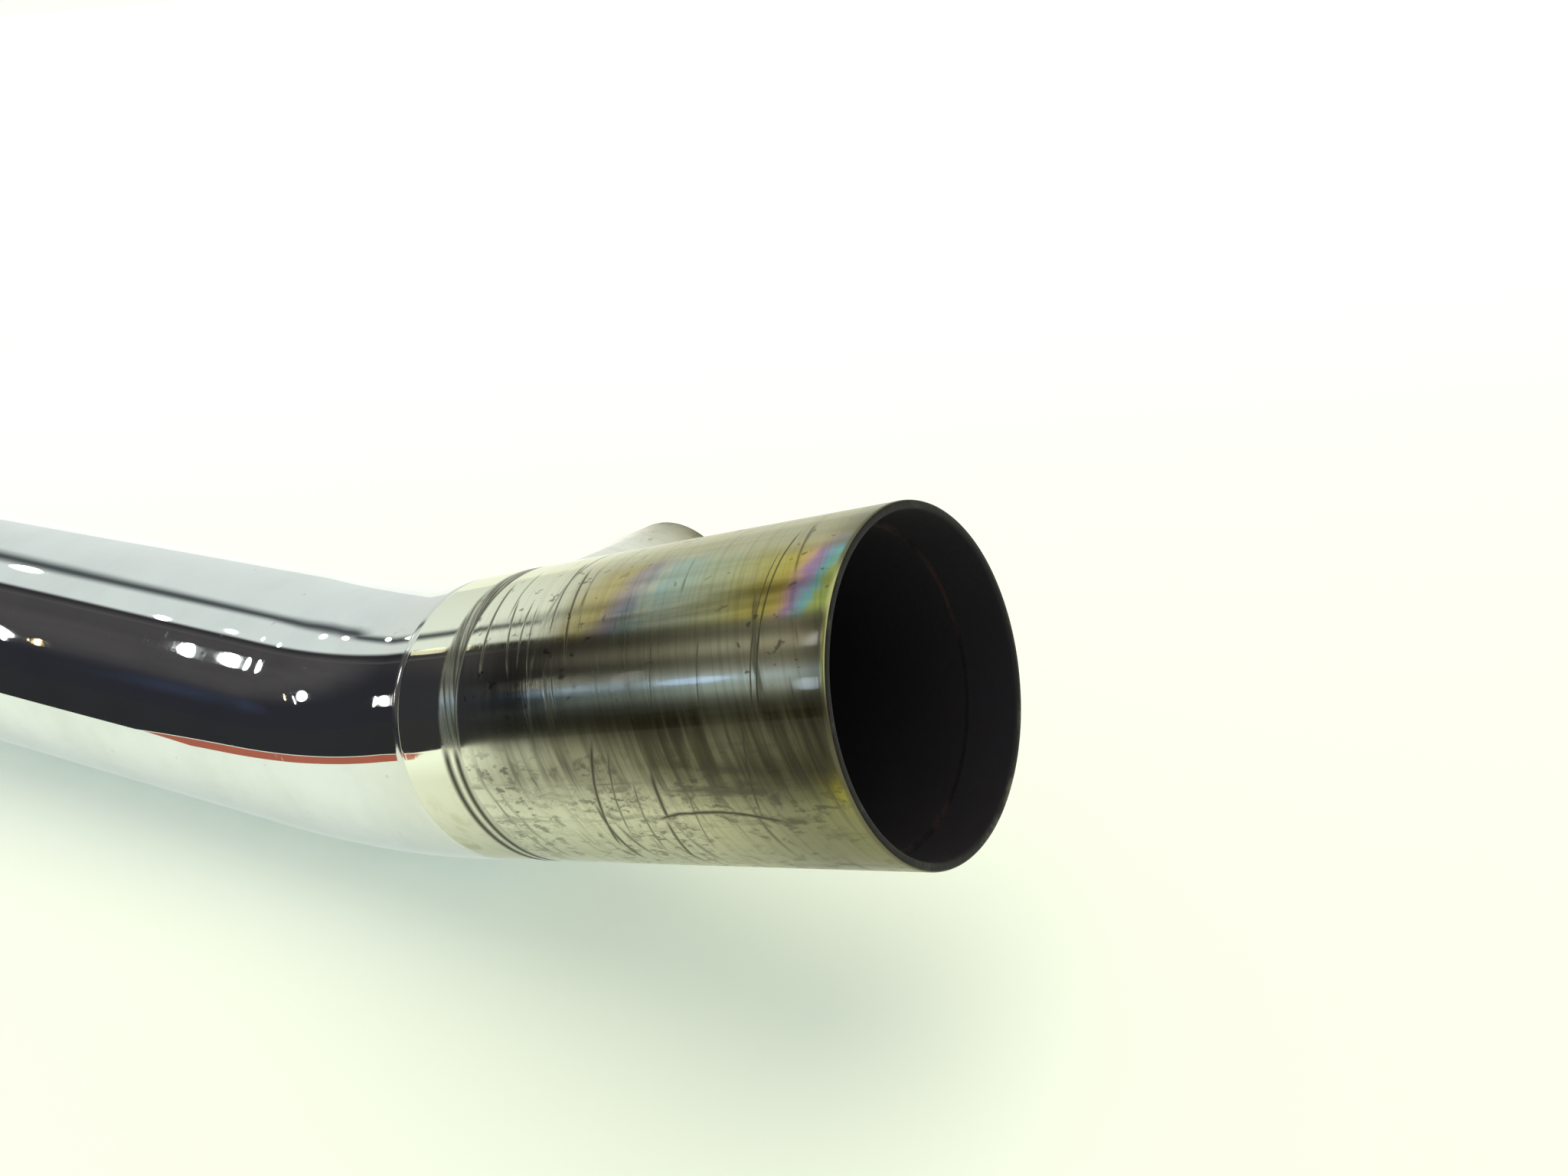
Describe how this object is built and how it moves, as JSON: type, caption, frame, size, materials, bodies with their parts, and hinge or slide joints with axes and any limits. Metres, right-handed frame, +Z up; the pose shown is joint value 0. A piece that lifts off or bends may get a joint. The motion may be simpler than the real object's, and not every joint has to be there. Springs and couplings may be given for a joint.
{
  "type": "motorcycle exhaust header pipe",
  "caption": "Bent chromed exhaust header with a worn slip-on outlet sleeve, a short balance stub on its side and a two-bolt flange at the cylinder end.",
  "frame": {"origin": "on the plane the header lies on, under the middle of its box", "axes": "+X along the straight run towards the outlet, +Z up from the plane it lies on, +Y towards the side of the inlet leg and the stub"},
  "size_m": [0.609, 0.2114, 0.0763],
  "materials": {
    "chrome_pipe": "mirror-bright chrome plate over steel",
    "worn_sleeve": "worn chrome, heat tinted and sooty, with scratches round it",
    "stub_chrome": "chrome plate stained towards its end",
    "flange_steel": "satin plated steel"
  },
  "bodies": {
    "root": {"header_pipe": "chrome_pipe", "outlet_sleeve": "worn_sleeve", "balance_stub": "stub_chrome", "inlet_flange": "flange_steel"}
  },
  "joints": []
}
